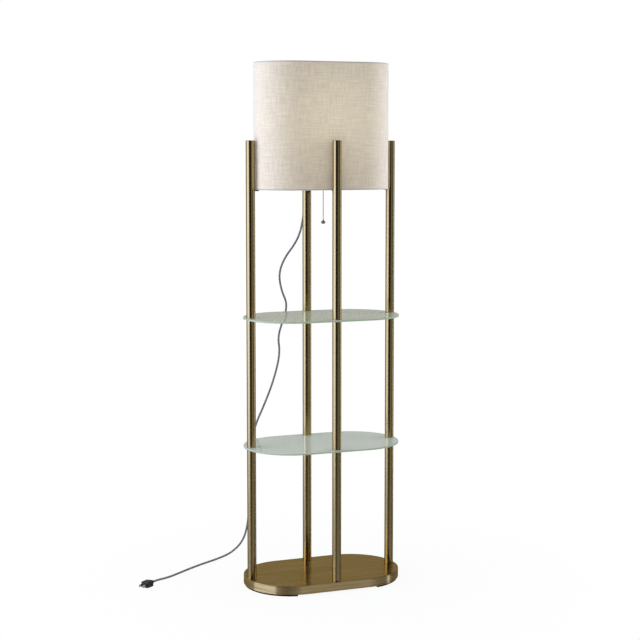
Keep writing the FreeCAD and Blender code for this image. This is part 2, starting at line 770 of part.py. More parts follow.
def socket_shell():
    """The upper half: a straight tube with a rolled rim, holed for the chain guide."""
    low = SOCKET_SEAT + SHELL_START
    high = SOCKET_SEAT + SHELL_TOP
    inner = SHELL_R - SOCKET_METAL
    rim = high - 2 * SHELL_BEAD
    shell = revolved(
        (inner, low), (SHELL_R, low), (SHELL_R, rim), (SHELL_R + SHELL_BEAD, rim + SHELL_BEAD, SHELL_R, high),
        (inner, high),
    )
    return shell.cut(guide_hole())


def guide_hole():
    radius = GUIDE_OD / 2 + GUIDE_HOLE_CLEARANCE
    start = GUIDE_START_R - GUIDE_END_GAP
    return radial_cylinder(radius, start, 2 * SOCKET_CAP_R, GUIDE_HEIGHT, CHAIN_ANGLE)


def socket_liner():
    outer = SHELL_R - SOCKET_METAL - INTERIOR_GAP / 2
    low = SOCKET_SEAT + SOCKET_CAP_HEIGHT
    high = SOCKET_SEAT + SHELL_TOP - SHELL_BEAD
    liner = cylinder(outer, low, high).cut(cylinder(outer - LINER_WALL, low, high))
    return liner.cut(guide_hole())


def socket_interior():
    """The moulded switch body, stepped at the bottom for its terminals."""
    low = SOCKET_SEAT + INTERIOR_BOTTOM
    high = SOCKET_SEAT + INTERIOR_TOP
    r = INTERIOR_R
    step = INTERIOR_STEP
    body = revolved(
        (0, low), (r - step, low), (r - step, low + step), (r, low + step), (r, high - step),
        (r - step, high), (0, high),
    )
    return body.cut(guide_hole())


def center_contact():
    """The sprung tongue under the bulb: a shallow brass dome."""
    low = SOCKET_SEAT + INTERIOR_TOP
    r = CONTACT_D / 2
    return revolved((0, low), (r, low), (*dome_middle(r, low, CONTACT_HEIGHT), 0, low + CONTACT_HEIGHT))


def thread_steps(root_r, rise, low):
    """Rounded thread ridges from the bottom up, as arc steps of a turned outline."""
    steps = []
    for i in range(THREAD_TURN_COUNT):
        z = low + i * THREAD_PITCH
        steps.append((root_r + rise, z + THREAD_PITCH / 2, root_r, z + THREAD_PITCH))
    return steps


def screw_shell():
    """The rolled metal thread that takes the bulb, its ridges level with the bulb's own."""
    low = BULB_SEAT + BULB_TIP
    inner = THREAD_ROOT_R + SCREW_FIT
    outer = inner + SCREW_SHELL_METAL
    inner_up = thread_steps(inner, THREAD_RISE, low)
    top = low + THREAD_LENGTH
    outer_down = [
        (outer + THREAD_RISE, z - THREAD_PITCH / 2, outer, z - THREAD_PITCH)
        for z in [top - i * THREAD_PITCH for i in range(THREAD_TURN_COUNT)]
    ]
    foot = SOCKET_SEAT + INTERIOR_TOP
    return revolved((inner, foot), (inner, low), *inner_up, (outer, top), *outer_down, (outer, foot))


def bulb_cap():
    """The bulb's threaded cap, with its insulated tip on the centre contact."""
    low = BULB_SEAT + BULB_TIP
    top = low + THREAD_LENGTH
    r = THREAD_ROOT_R
    return revolved(
        (0, BULB_SEAT), (r * BULB_TIP_SHARE, BULB_SEAT), (r, low), *thread_steps(r, THREAD_RISE, low),
        (r, top + BULB_COLLAR), (0, top + BULB_COLLAR),
    )


def bulb_solid(low, grow):
    """The bulb's pear shape from the collar up, grown or drawn in by an offset."""
    neck = BULB_NECK_R + grow
    wide = BULB_R + grow
    top = low + BULB_LENGTH + grow
    middle = low + BULB_LENGTH - BULB_R
    tangent = math.radians(BULB_JOIN_ANGLE)
    join_r = wide * math.cos(tangent)
    join_z = middle - wide * math.sin(tangent)
    neck_z = low + BULB_NECK
    flare_r = neck + BULB_FLARE_OUT * (join_r - neck)
    flare_z = neck_z + BULB_FLARE_UP * (join_z - neck_z)
    foot = THREAD_ROOT_R + grow
    crown = math.radians(BULB_CROWN_ANGLE)
    return revolved(
        (0, low), (foot, low), (neck, neck_z), (flare_r, flare_z, join_r, join_z),
        (wide * math.cos(crown), middle + wide * math.sin(crown), 0, top),
    )


def bulb_globe():
    low = BULB_SEAT + BULB_TIP + THREAD_LENGTH + BULB_COLLAR
    return bulb_solid(low, 0).cut(bulb_solid(low, -BULB_GLASS))


# ---- Pull chain ----

def at_chain(shape):
    """Moves a shape from the middle of the lamp to the line on which the chain hangs."""
    return turned(shape.translated(vec(CHAIN_OFFSET, 0, 0)), CHAIN_ANGLE)


def chain_guide():
    """The elbow out of the socket's side, flared at its mouth, that the chain runs down through."""
    across = SOCKET_SEAT + GUIDE_HEIGHT
    points = [(GUIDE_START_R, 0, across), (CHAIN_OFFSET, 0, across), (CHAIN_OFFSET, 0, GUIDE_MOUTH)]
    route = rounded_route(points, [GUIDE_BEND])
    lip_r = GUIDE_LIP_D / 2
    wall_r = GUIDE_OD / 2
    hollow_r = wall_r + GUIDE_LIP_HOLLOW * (lip_r - wall_r)
    lip = revolved(
        (GUIDE_BORE / 2, GUIDE_MOUTH), (lip_r, GUIDE_MOUTH),
        (hollow_r, GUIDE_MOUTH + GUIDE_LIP_HOLLOW * GUIDE_LIP, wall_r, GUIDE_MOUTH + GUIDE_LIP),
        (GUIDE_BORE / 2, GUIDE_MOUTH + GUIDE_LIP),
    ).translated(vec(CHAIN_OFFSET, 0, 0))
    elbow = tube_along(route, GUIDE_OD).fuse(lip).cut(tube_along(route, GUIDE_BORE))
    return turned(elbow.removeSplitter(), CHAIN_ANGLE)


def bead_chain(top, count, tail=0.0):
    """Ball chain as one turned solid: count beads from the top centre down, and a tail of bare wire."""
    bead_r = BEAD_D / 2
    wire_r = BEAD_WIRE_D / 2
    meet = math.sqrt(bead_r ** 2 - wire_r ** 2)
    out, up = arc_middle(bead_r, 0)
    steps = [(out, top + up, bead_r, top), (out, top - up, wire_r, top - meet)]
    for i in range(1, count):
        z = top - i * BEAD_PITCH
        steps += [(wire_r, z + meet), (bead_r, z, wire_r, z - meet)]
    end = top - (count - 1) * BEAD_PITCH - meet - tail
    steps += [(wire_r, end), (0, end)]
    return revolved((0, top + bead_r), *steps)


def chain_stem():
    """The socket's own short chain: its lowest bead is held in the coupling."""
    return at_chain(bead_chain(SWING_X_HEIGHT + (STEM_BEAD_COUNT - 1) * BEAD_PITCH, STEM_BEAD_COUNT))


def chain_coupling():
    """A hollow barrel with a mouth at each end, which holds a bead of each chain."""
    outer = COUPLING_OD / 2
    inner = COUPLING_BORE / 2
    mouth = COUPLING_MOUTH_R
    shelf = math.sqrt(inner ** 2 - mouth ** 2)
    top = SWING_X_HEIGHT
    low = SWING_Y_HEIGHT
    out, up = arc_middle(outer, mouth)
    out_in, up_in = arc_middle(inner, mouth)
    barrel = revolved(
        (mouth, top + COUPLING_END), (out, top + up, outer, top), (outer, low),
        (out, low - up, mouth, low - COUPLING_END), (mouth, low - shelf),
        (out_in, low - up_in, inner, low), (inner, top), (out_in, top + up_in, mouth, top + shelf),
    )
    return at_chain(barrel)


def pull_chain():
    reach = CHAIN_DROP - KNOB_HEIGHT / 2 - KNOB_NECK
    count = int((reach - BEAD_D / 2) / BEAD_PITCH) + 1
    meet = math.sqrt((BEAD_D / 2) ** 2 - (BEAD_WIRE_D / 2) ** 2)
    tail = reach - (count - 1) * BEAD_PITCH - meet
    return at_chain(bead_chain(SWING_Y_HEIGHT, count, tail))


def pull_knob():
    """A flattened ball with a small neck, turned in one piece."""
    z = KNOB_MIDDLE
    r = KNOB_D / 2
    half = KNOB_HEIGHT / 2
    neck = KNOB_NECK_D / 2
    belly = KNOB_BELLY_OUT * r
    rim = KNOB_BELLY_UP * half
    knob = revolved(
        (0, z - half), (*dome_middle(belly, z - rim, rim - half), belly, z - rim), (r, z, belly, z + rim),
        (neck, z + half), (neck, z + half + KNOB_NECK), (0, z + half + KNOB_NECK),
    )
    return at_chain(knob)


# ---- Shade ----

def shade_half_sizes(inset=0.0):
    reach = TUBE_R + SHADE_GAP + inset
    return POST_HALF_X - reach, POST_HALF_Y - reach


def shade_wall():
    high = SHADE_BOTTOM + SHADE_HEIGHT
    outside = stadium(*shade_half_sizes(), SHADE_BOTTOM, high)
    return outside.cut(stadium(*shade_half_sizes(SHADE_WALL), SHADE_BOTTOM, high))


def shade_ring(middle):
    """A round wire bent to the shade's outline, inside the wall."""
    half_length, end_r = shade_half_sizes(SHADE_WALL + SHADE_RING_D / 2)
    route = stadium_wire(half_length, end_r, middle)
    start = vec(-(half_length - end_r), -end_r, middle)
    section = Part.Wire(Part.Circle(start, vec(1, 0, 0), SHADE_RING_D / 2).toShape())
    return route.makePipeShell([section], True, False)


# ---- Lead, cord and plug ----

def lead_points():
    """From the strain relief up the rear post, under the shade's rim, along the rear arm to the socket."""
    foot = POST_HALF_Y - TUBE_R - SHADE_GAP - SHADE_WALL - SHADE_RING_D - ARM_LOCATING_GAP
    side = -(ARM_WIDTH / 2 + LEAD_D / 2 + LEAD_SIDE_GAP)
    along = ARM_BOTTOM + ARM_THICKNESS / 2
    entry = math.radians(LEAD_ENTRY_ANGLE)
    inner = SOCKET_SEAT + LEAD_ENTRY_HEIGHT
    far_r = SOCKET_CAP_R + LEAD_TURN_R
    start = turned_heading(90 - CORD_EXIT_TURN) * (TUBE_BORE_R - RELIEF_BEYOND_WALL)
    return [
        (start.x, POST_HALF_Y + start.y, CORD_EXIT),
        (0, POST_HALF_Y, CORD_EXIT),
        (0, POST_HALF_Y, LEAD_HEIGHT),
        (0, POST_HALF_Y - TUBE_R - LEAD_OUT, LEAD_HEIGHT),
        (side, foot - LEAD_CLIMB_IN * ARM_RISE, LEAD_HEIGHT + LEAD_CLIMB_UP * ARM_RISE),
        (side, foot - LEAD_CLIMB_END * ARM_RISE, along),
        (side, LEAD_NEAR_HUB, along),
        (far_r * math.cos(entry), far_r * math.sin(entry), inner),
        (LEAD_TURN_R * math.cos(entry), LEAD_TURN_R * math.sin(entry), inner),
        (LEAD_TURN_R * math.cos(entry), LEAD_TURN_R * math.sin(entry), SOCKET_SEAT + INTERIOR_BOTTOM),
    ]


def inner_lead():
    points = lead_points()
    bends = [LEAD_BEND, LEAD_BEND] + easy_bends(points, LEAD_EASE)[2:-1] + [LEAD_LAST_BEND]
    return tube_along(rounded_route(points, bends), LEAD_D)


def flanged_bush(length, wall_r):
    """A snap-in bush along +X through a round wall at the origin, its flange hollowed to the wall."""
    bore = LEAD_D / 2 + BUSH_LEAD_CLEARANCE
    flange_r = BUSH_FLANGE_D / 2
    back = saddle_depth(flange_r, wall_r)
    flange = revolved(
        (bore, -BUSH_FLANGE), (flange_r - BUSH_EDGE, -BUSH_FLANGE), (flange_r, -BUSH_FLANGE + BUSH_EDGE),
        (flange_r, back), (bore, back),
    )
    neck = revolved((bore, 0), (BUSH_NECK_D / 2, 0), (BUSH_NECK_D / 2, length), (bore, length))
    for piece in (flange, neck):
        piece.rotate(vec(0, 0, 0), vec(0, 1, 0), 90)
    return flange.cut(cylinder(wall_r, -flange_r, flange_r, wall_r)).fuse(neck).removeSplitter()


def lead_bush():
    """Lines the hole in the rear post where the lead crosses under the shade."""
    bush = flanged_bush(TUBE_WALL + BUSH_BEYOND_WALL, TUBE_R)
    return turned(bush.translated(vec(POST_HALF_Y - TUBE_R, 0, LEAD_HEIGHT)), 90)


def socket_bush():
    """Lines the side hole of the socket cap."""
    bush = flanged_bush(SOCKET_METAL + BUSH_BEYOND_WALL, SOCKET_CAP_R)
    bush.rotate(vec(0, 0, 0), vec(0, 0, 1), 180)
    seat = vec(SOCKET_CAP_R + SOCKET_FIT, 0, SOCKET_SEAT + LEAD_ENTRY_HEIGHT)
    return turned(bush.translated(seat), LEAD_ENTRY_ANGLE)


def clip_places():
    """Where the clips' middles stand: shares of the lead's straight part along the rear arm."""
    below, start, end, beyond = [vec(*p) for p in lead_points()[4:8]]
    run = (end - start).Length
    far = start.y - LEAD_EASE * min((start - below).Length, run)
    near = end.y + LEAD_EASE * min((beyond - end).Length, run)
    return [near + share * (far - near) for share in CLIP_SHARES]


def lead_clips():
    """Nylon clips round the lead, each with a tab on top of the rear arm."""
    side = -(ARM_WIDTH / 2 + LEAD_D / 2 + LEAD_SIDE_GAP)
    height = ARM_BOTTOM + ARM_THICKNESS / 2
    outer = LEAD_D / 2 + BUSH_LEAD_CLEARANCE + CLIP_WALL
    clips = []
    for middle in clip_places():
        y = middle - CLIP_WIDTH / 2
        band = Part.makeCylinder(outer, CLIP_WIDTH, vec(side, y, height), vec(0, 1, 0))
        tab_high = height + outer
        tab = box(side, side + outer + CLIP_TAB, y, y + CLIP_WIDTH, ARM_TOP, tab_high)
        clip = band.fuse(tab)
        clip = clip.cut(box(side, 0, y, y + CLIP_WIDTH, height - outer, ARM_TOP))
        bore = Part.makeCylinder(outer - CLIP_WALL, CLIP_WIDTH, vec(side, y, height), vec(0, 1, 0))
        clips.append(clip.cut(bore).removeSplitter())
    return Part.makeCompound(clips)


def strain_relief():
    """A tapered, grooved rubber piece in the back of the rear post. The cord starts at its tip."""
    start = TUBE_R
    tip = TUBE_R + RELIEF_LENGTH
    root_r = RELIEF_ROOT_D / 2
    slope = (RELIEF_TIP_D / 2 - root_r) / (tip - start - RELIEF_FLANGE)
    steps = []
    pitch = (tip - start - RELIEF_FLANGE) / (RELIEF_RIB_COUNT + 1)
    for i in range(RELIEF_RIB_COUNT):
        groove = start + RELIEF_FLANGE + (i + RELIEF_GROOVE_START) * pitch
        r = root_r + slope * (groove - start - RELIEF_FLANGE)
        width = RELIEF_GROOVE_SHARE * pitch
        steps += [(r, groove), (r - RELIEF_GROOVE, groove), (r - RELIEF_GROOVE, groove + width)]
        steps.append((r + slope * width, groove + width))
    flange_r = RELIEF_FLANGE_D / 2
    back = start - saddle_depth(flange_r, TUBE_R)
    boot = revolved(
        (0, back), (flange_r, back), (flange_r, start + RELIEF_FLANGE - BUSH_EDGE),
        (flange_r - BUSH_EDGE, start + RELIEF_FLANGE), (root_r, start + RELIEF_FLANGE), *steps,
        (RELIEF_TIP_D / 2, tip), (0, tip),
    )
    neck = cylinder(BUSH_NECK_D / 2, TUBE_BORE_R - RELIEF_BEYOND_WALL, start)
    for piece in (boot, neck):
        piece.rotate(vec(0, 0, 0), vec(1, 0, 0), -90)
    relief = boot.cut(cylinder(TUBE_R, -flange_r, flange_r)).fuse(neck).removeSplitter()
    return turned(relief, -CORD_EXIT_TURN).translated(vec(0, POST_HALF_Y, CORD_EXIT))


def cord():
    bends = easy_bends(CORD_POINTS, CORD_EASE)
    route = rounded_route(CORD_POINTS, bends)
    tube = tube_along(route, CORD_D)
    share = tube.Volume / (math.pi * (CORD_D / 2) ** 2 * route.Length)
    print("cord: length %.0f mm, volume over section times length %.5f" % (route.Length, share))
    print("cord: radii " + " ".join("%.0f" % bend for bend in bends))
    return tube


def plug_frame(shape):
    """Moves a shape built along +X from the origin to the end of the cord, along its last run."""
    tail, tip = vec(*CORD_POINTS[-2]), vec(*CORD_POINTS[-1])
    heading = math.degrees(math.atan2(tip.y - tail.y, tip.x - tail.x))
    return turned(shape, heading).translated(tip)


def plug_body():
    """A moulded plug: a tapered neck, a block with rounded corners and finger grooves in its sides."""
    neck = revolved(
        (0, 0), (RELIEF_TIP_D / 2, 0),
        (PLUG_NECK_FLARE_D / 2, PLUG_NECK_FLARE_AT, PLUG_NECK_END_D / 2, PLUG_NECK + PLUG_NECK_IN),
        (0, PLUG_NECK + PLUG_NECK_IN),
    )
    neck.rotate(vec(0, 0, 0), vec(0, 1, 0), 90)
    flat = PLUG_HEIGHT / 2
    neck = neck.common(box(0, 2 * PLUG_NECK, -PLUG_WIDTH, PLUG_WIDTH, -flat, flat))
    end = PLUG_NECK + PLUG_LENGTH
    block = box(PLUG_NECK, end, -PLUG_WIDTH / 2, PLUG_WIDTH / 2, -flat, flat)
    along = [edge for edge in block.Edges if edge.BoundBox.XLength > PLUG_LENGTH / 2]
    block = block.makeFillet(PLUG_EDGE, along)
    back = [edge for edge in block.Edges if edge.BoundBox.XMax < PLUG_NECK + NEAR]
    block = block.makeFillet(PLUG_BACK_EDGE, back)
    pitch = (PLUG_LENGTH - PLUG_FACE) / (PLUG_GRIP_COUNT + 1)
    for i in range(PLUG_GRIP_COUNT):
        for side in (-1, 1):
            middle = vec(PLUG_NECK + (i + 1) * pitch, side * (PLUG_WIDTH / 2 + PLUG_GRIP_OUT), -flat)
            block = block.cut(Part.makeCylinder(PLUG_GRIP_R, PLUG_HEIGHT, middle))
    return plug_frame(block.fuse(neck).removeSplitter().cut(blade_pair()))


def blade_pair():
    """Two flat blades along +X, one narrow and one wide, each with its hole."""
    start = PLUG_NECK + PLUG_LENGTH - BLADE_HELD
    end = PLUG_NECK + PLUG_LENGTH + BLADE_LENGTH
    blades = []
    for side, height in ((-1, BLADE_HEIGHT), (1, WIDE_BLADE * BLADE_HEIGHT)):
        y = side * BLADE_SPACING / 2
        half = BLADE_THICKNESS / 2
        blade = box(start, end, y - half, y + half, -height / 2, height / 2)
        tips = [
            edge for edge in blade.Edges
            if edge.BoundBox.XMin > end - NEAR and edge.BoundBox.ZLength < NEAR
        ]
        blade = blade.makeChamfer(BLADE_TIP, tips)
        hole = vec(end - BLADE_HOLE_IN, y - half, 0)
        blades.append(blade.cut(Part.makeCylinder(BLADE_HOLE_D / 2, BLADE_THICKNESS, hole, vec(0, 1, 0))))
    return Part.makeCompound(blades)


def build():
    nodes = {
        "base_cover": base_cover(),
        "base_casting": base_casting(),
        "base_bottom_plate": base_bottom_plate(),
        "base_plate_screws": base_plate_screws(),
        "base_bolts": base_bolts(),
        "base_washers": base_washers(),
        "foot_pad_left": foot_pad(-1),
        "foot_pad_right": foot_pad(1),
        "tube_inserts": tube_inserts(),
        "post_caps": post_caps(),
        "lower_shelf": glass_shelf(LOWER_GLASS),
        "upper_shelf": glass_shelf(UPPER_GLASS),
        "shelf_gaskets": shelf_gaskets(),
        "shelf_studs": shelf_studs(),
        "carrier_hub": carrier_hub(),
        "hub_rivets": hub_rivets(),
        "hub_lock_nut": hub_lock_nut(),
        "socket_nipple": socket_nipple(),
        "socket_spacer": socket_spacer(),
        "socket_cap": socket_cap(),
        "socket_shell": socket_shell(),
        "socket_liner": socket_liner(),
        "socket_interior": socket_interior(),
        "center_contact": center_contact(),
        "screw_shell": screw_shell(),
        "bulb_cap": bulb_cap(),
        "bulb_globe": bulb_globe(),
        "chain_guide": chain_guide(),
        "chain_stem": chain_stem(),
        "chain_coupling": chain_coupling(),
        "pull_chain": pull_chain(),
        "pull_knob": pull_knob(),
        "shade_wall": shade_wall(),
        "shade_bottom_ring": shade_ring(SHADE_BOTTOM + SHADE_RING_D / 2),
        "shade_top_ring": shade_ring(SHADE_BOTTOM + SHADE_HEIGHT - SHADE_RING_D / 2),
        "inner_lead": inner_lead(),
        "lead_bush": lead_bush(),
        "lead_clips": lead_clips(),
        "socket_bush": socket_bush(),
        "strain_relief": strain_relief(),
        "cord": cord(),
        "plug_body": plug_body(),
        "plug_blades": plug_frame(blade_pair()),
    }
    for post in POSTS:
        nodes["lower_tube_" + post] = placed_tube(post, BASE_TOP, LOWER_TOP)
        nodes["middle_tube_" + post] = placed_tube(post, MIDDLE_FOOT, MIDDLE_TOP)
        nodes["upper_tube_" + post] = upper_tube(post)
        nodes["carrier_arm_" + post] = carrier_arm(post)
    os.makedirs("parts", exist_ok=True)
    for name, shape in nodes.items():
        assert shape.isValid(), name
        shape.exportStep("parts/" + name + ".step")
    print("%d nodes, height %.1f mm" % (len(nodes), SHADE_BOTTOM + SHADE_HEIGHT))


build()
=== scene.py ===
"""Looks for the shelf floor lamp: materials on the CAD nodes, and modelled pieces for the shade and the cord.

Lengths are in metres, in the frame's axes: X to the right, Y to the back and Z up.
"""

import json
import math

import bpy
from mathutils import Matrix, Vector


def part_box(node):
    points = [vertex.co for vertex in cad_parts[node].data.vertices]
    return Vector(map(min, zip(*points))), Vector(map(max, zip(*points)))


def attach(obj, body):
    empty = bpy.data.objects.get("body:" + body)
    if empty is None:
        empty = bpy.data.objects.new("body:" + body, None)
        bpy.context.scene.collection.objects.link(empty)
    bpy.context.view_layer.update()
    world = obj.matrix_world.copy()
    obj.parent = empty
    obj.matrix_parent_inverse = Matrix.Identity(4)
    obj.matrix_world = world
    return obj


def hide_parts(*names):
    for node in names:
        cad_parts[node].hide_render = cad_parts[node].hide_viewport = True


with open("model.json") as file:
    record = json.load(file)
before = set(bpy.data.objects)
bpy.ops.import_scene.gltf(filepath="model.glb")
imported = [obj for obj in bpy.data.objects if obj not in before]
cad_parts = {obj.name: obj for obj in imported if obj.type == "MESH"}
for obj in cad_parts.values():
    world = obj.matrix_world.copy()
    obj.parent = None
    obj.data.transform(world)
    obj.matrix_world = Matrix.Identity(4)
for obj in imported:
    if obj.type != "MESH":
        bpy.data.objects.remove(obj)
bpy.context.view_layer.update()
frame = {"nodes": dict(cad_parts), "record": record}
NODES = frame["nodes"]

# ---- Shade: its outline comes from the CAD wall, two round ends joined by flats ----
WALL_LOW, WALL_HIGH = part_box("shade_wall")
SHADE_BOTTOM = WALL_LOW.z
SHADE_TOP = WALL_HIGH.z
SHADE_END_R = WALL_HIGH.y
SHADE_FLAT = WALL_HIGH.x - SHADE_END_R  # half of the straight stretch
OUTLINE_STEP = 0.004
WALL_STEPS = 12
RING_R = 0.0015  # of the ring's wire
RING_IN = 0.0027  # from the wall's outside to the middle of the ring's wire
CLOTH = 0.00024
SEAM_LAP = 0.012
SEAM_LIFT = 0.00045
SEAM_RAMP = 0.35  # the share of the lap on which the upper layer rises
LINER_OUT = 0.00026  # this and the next are from the wall's outside to the liner's faces
LINER_IN = 0.0012
LINER_EDGE = 0.0004  # from the shade's rims to the liner's
HEM_WRAP = RING_R + 0.00013  # from the wire's middle to the middle of the cloth
HEM_UNDER = range(-65, 86, 25)  # degrees round the wire, from inside the shade to below it
HEM_OUTWARD = range(20, 71, 25)  # degrees from below the wire to the wall's outside
# The wall swells a little over the turned edge of the hem. These are steps outward, and up from the wire.
HEM_RIDGE = [(0.0, 0.0009), (0.0002, 0.002), (0.0, 0.0031), (0.0, 0.0036)]

# ---- Linen, brass, glass and braid: where colours are a pair, the tone runs from one to the other ----
WEAVE = 0.0009  # from thread to thread
WEAVE_SWAY = 2.2  # how far threads wander, in those distances
SLUB_SCALES = [(20, 270, 1), (270, 23, 1)]  # of the slubs that run round the shade, and of those up it
THREAD_SCALES = [(70, 900, 1), (900, 70, 1)]
RIM_BAND = (0.003, 0.0042)  # a darker colour along each rim ends between these distances from the rim
BULB_AT = (0, 0, 1.315)
PAINTED_GLOW = 0.09  # emission of the painted glow at its strongest, standing in for the bulb's light through the cloth
PAINTED_GLOW_REACH = (0.1, 0.2)  # from the bulb, where the painted glow starts to fade and where it ends
# The wall's pair is about a third lighter than the top's: painted light on the wall of the same brass.
TOP_BRASS = [(0.42, 0.295, 0.14, 1), (0.57, 0.425, 0.22, 1)]
PAINTED_LIGHT_WALL_BRASS = [(0.47, 0.34, 0.16, 1), (0.74, 0.57, 0.3, 1)]
COOL_GLASS = [(0.7, 0.755, 0.65, 1), (0.75, 0.8, 0.69, 1)]
WARM_SHADED_GLASS = [(0.645, 0.68, 0.475, 1), (0.695, 0.725, 0.515, 1)]
GROUND_EDGE = (0.42, 0.51, 0.38, 1)
BETWEEN_SHELVES = (0.5, 0.6)  # heights: the glass is cool below them, and warmer and darker above them with painted shade and warm light
BRAID_PITCH = 0.0052
BRAID_STRANDS = 6
STRANDS = [(0.03, 0.03, 0.032, 1), (0.12, 0.12, 0.125, 1)]
FLECK = (0.6, 0.6, 0.6, 1)

# ---- Cord: the route's points repeat the CAD source's ----
CORD_R = 0.003
CORD_SIDES = 16
ROUTE_STEPS = 24
CORD_POINTS = [
    (0.00791, 0.15003, 1.078),
    (0.01226, 0.16749, 1.078),
    (0.0159, 0.182, 1.069),
    (0.0175, 0.191, 1.0535),
    (0.0155, 0.1945, 1.028),
    (0.006, 0.191, 0.991),
    (-0.012, 0.188, 0.958),
    (-0.045, 0.187, 0.918),
    (-0.063, 0.186, 0.873),
    (-0.057, 0.181, 0.825),
    (-0.038, 0.178, 0.781),
    (-0.054, 0.18, 0.731),
    (-0.067, 0.184, 0.686),
    (-0.058, 0.189, 0.637),
    (-0.074, 0.198, 0.56),
    (-0.098, 0.213, 0.486),
    (-0.126, 0.231, 0.412),
    (-0.13, 0.251, 0.332),
    (-0.127, 0.276, 0.25),
    (-0.12, 0.298, 0.17),
    (-0.117, 0.322, 0.095),
    (-0.128, 0.336, 0.042),
    (-0.166, 0.331, 0.011),
    (-0.219, 0.307, 0.003),
    (-0.277, 0.271, 0.003),
    (-0.34, 0.225, 0.003),
    (-0.396, 0.179, 0.003),
    (-0.428, 0.154, 0.0055),
    (-0.45, 0.1375, 0.0085),
    (-0.466, 0.1255, 0.0085),
]

# ---- Camera ----
CAMERA_AT = (-1.5291, -3.9724, 1.2443)
CAMERA_YAW = 20.996
CAMERA_PITCH = 5.362
CAMERA_LENS = 84.88
CAMERA_SHIFT = -0.05
CAMERA_REACH = 100

# ---- Studio: directions are degrees round the lamp, 0 towards the camera and 90 to the picture's right ----
FACING = Vector((-math.sin(math.radians(CAMERA_YAW)), -math.cos(math.radians(CAMERA_YAW)), 0))
RIGHTWARD = Vector((math.cos(math.radians(CAMERA_YAW)), -math.sin(math.radians(CAMERA_YAW)), 0))
WHITE = (1, 1, 1, 1)
AMBIENT = (0.74, 0.735, 0.72, 1)
COOL_LIGHT = (0.9, 1.0, 1.25)
ROOM = [
    (-180, 0.38), (-130, 0.38), (-112, 0.35), (-33, 0.2), (-21, 0.0), (14, 0.0), (25, 0.22), (40, 0.36),
    (62, 0.16), (120, 0.13), (150, 0.28), (180, 0.38),
]
TABLE = [
    (-180, 0.2), (-125, 0.25), (-100, 0.36), (-50, 0.4), (-30, 0.38), (-8, 0.25), (17, 0.42), (32, 0.5),
    (48, 0.4), (75, 0.25), (180, 0.2),
]
# Heights of directions are the sines of their angles above the horizon.
TABLE_RIM = (-0.225, -0.28)
IMAGE_BOTTOM = (-0.24, -0.18)
IMAGE_TOP = (0.06, 0.1)
IMAGE_EDGE = 1.5  # degrees on either side of an image's end, over which it fades
# Each image of a softbox has its direction, half of its width in degrees, and its radiance.
SOFTBOX_IMAGES = [(-67, 31, (2.1, 2.35, 3.2, 1)), (101, 4.5, (2.6, 2.9, 3.6, 1))]
FLOOR_R = 1.25
FLOOR_SIDES = 90
FLOOR_COLOUR = (0.8, 0.8, 0.8, 1)
FLOOR_WHITE = (0.92, 1.0)  # the share of plain white near the lamp and far from it
FLOOR_FADE = (0.25, 0.9)  # the distances between which it changes


# ---- Node helpers ----

def feed(tree, socket, value):
    """Links an output to the socket, or else sets the socket's value."""
    if isinstance(value, bpy.types.NodeSocket):
        tree.links.new(value, socket)
    else:
        socket.default_value = value


def node(tree, kind, **settings):
    """A node whose settings are given by name: one of its properties, or else an input's value or link."""
    made = tree.nodes.new("ShaderNode" + kind)
    for key, value in settings.items():
        if hasattr(made, key):
            setattr(made, key, value)
        else:
            feed(tree, made.inputs[key.replace("_", " ")], value)
    return made


def calc(tree, operation, *values):
    made = node(tree, "Math", operation=operation)
    for socket, value in zip(made.inputs, values):
        feed(tree, socket, value)
    return made.outputs[0]


def vector_calc(tree, operation, *values):
    made = node(tree, "VectorMath", operation=operation)
    for socket, value in zip(made.inputs, values):
        feed(tree, socket, value)
    return made


def noise(tree, vector, scale, detail=3.0, rough=0.55):
    """Noise whose scale is given for each axis."""
    place = vector_calc(tree, "MULTIPLY", vector, scale).outputs[0]
    made = node(tree, "TexNoise", Vector=place, Scale=1.0, Detail=detail, Roughness=rough)
    return made.outputs["Fac"]


def spread(tree, value, low, high, from_low=0.3, from_high=0.7):
    """From low to high as the value goes from from_low to from_high, and level outside them."""
    made = node(tree, "MapRange", Value=value, From_Min=from_low, From_Max=from_high, To_Min=low, To_Max=high)
    return made.outputs["Result"]


def blended(tree, factor, a, b):
    made = node(tree, "Mix", data_type="RGBA", blend_type="MIX")
    feed(tree, made.inputs["Factor"], factor)
    feed(tree, made.inputs[6], a)
    feed(tree, made.inputs[7], b)
    return made.outputs[2]


def rgb(colour, level=1.0):
    return (*[min(1.0, part * level) for part in colour[:3]], 1.0)


def object_place(tree):
    return node(tree, "TexCoord").outputs["Object"]


def part_of(tree, vector, axis):
    return node(tree, "SeparateXYZ", Vector=vector).outputs[axis]


def bump(tree, shader, height, strength, distance):
    made = node(tree, "Bump", Height=height, Strength=strength, Distance=distance)
    feed(tree, shader.inputs["Normal"], made.outputs["Normal"])


def ray_sees_white(tree, path):
    """1 for rays from the camera and through glass, and 0 for the others."""
    return calc(tree, "MAXIMUM", path.outputs["Is Camera Ray"], path.outputs["Is Transmission Ray"])


# ---- Materials ----

def material(name, **values):
    """A new material, its tree and its shader. Values are uniform numbers on the shader's own sockets."""
    made = bpy.data.materials.new(name)
    made.use_nodes = True
    shader = made.node_tree.nodes["Principled BSDF"]
    for key, value in values.items():
        shader.inputs[key.replace("_", " ")].default_value = value
    return made, made.node_tree, shader


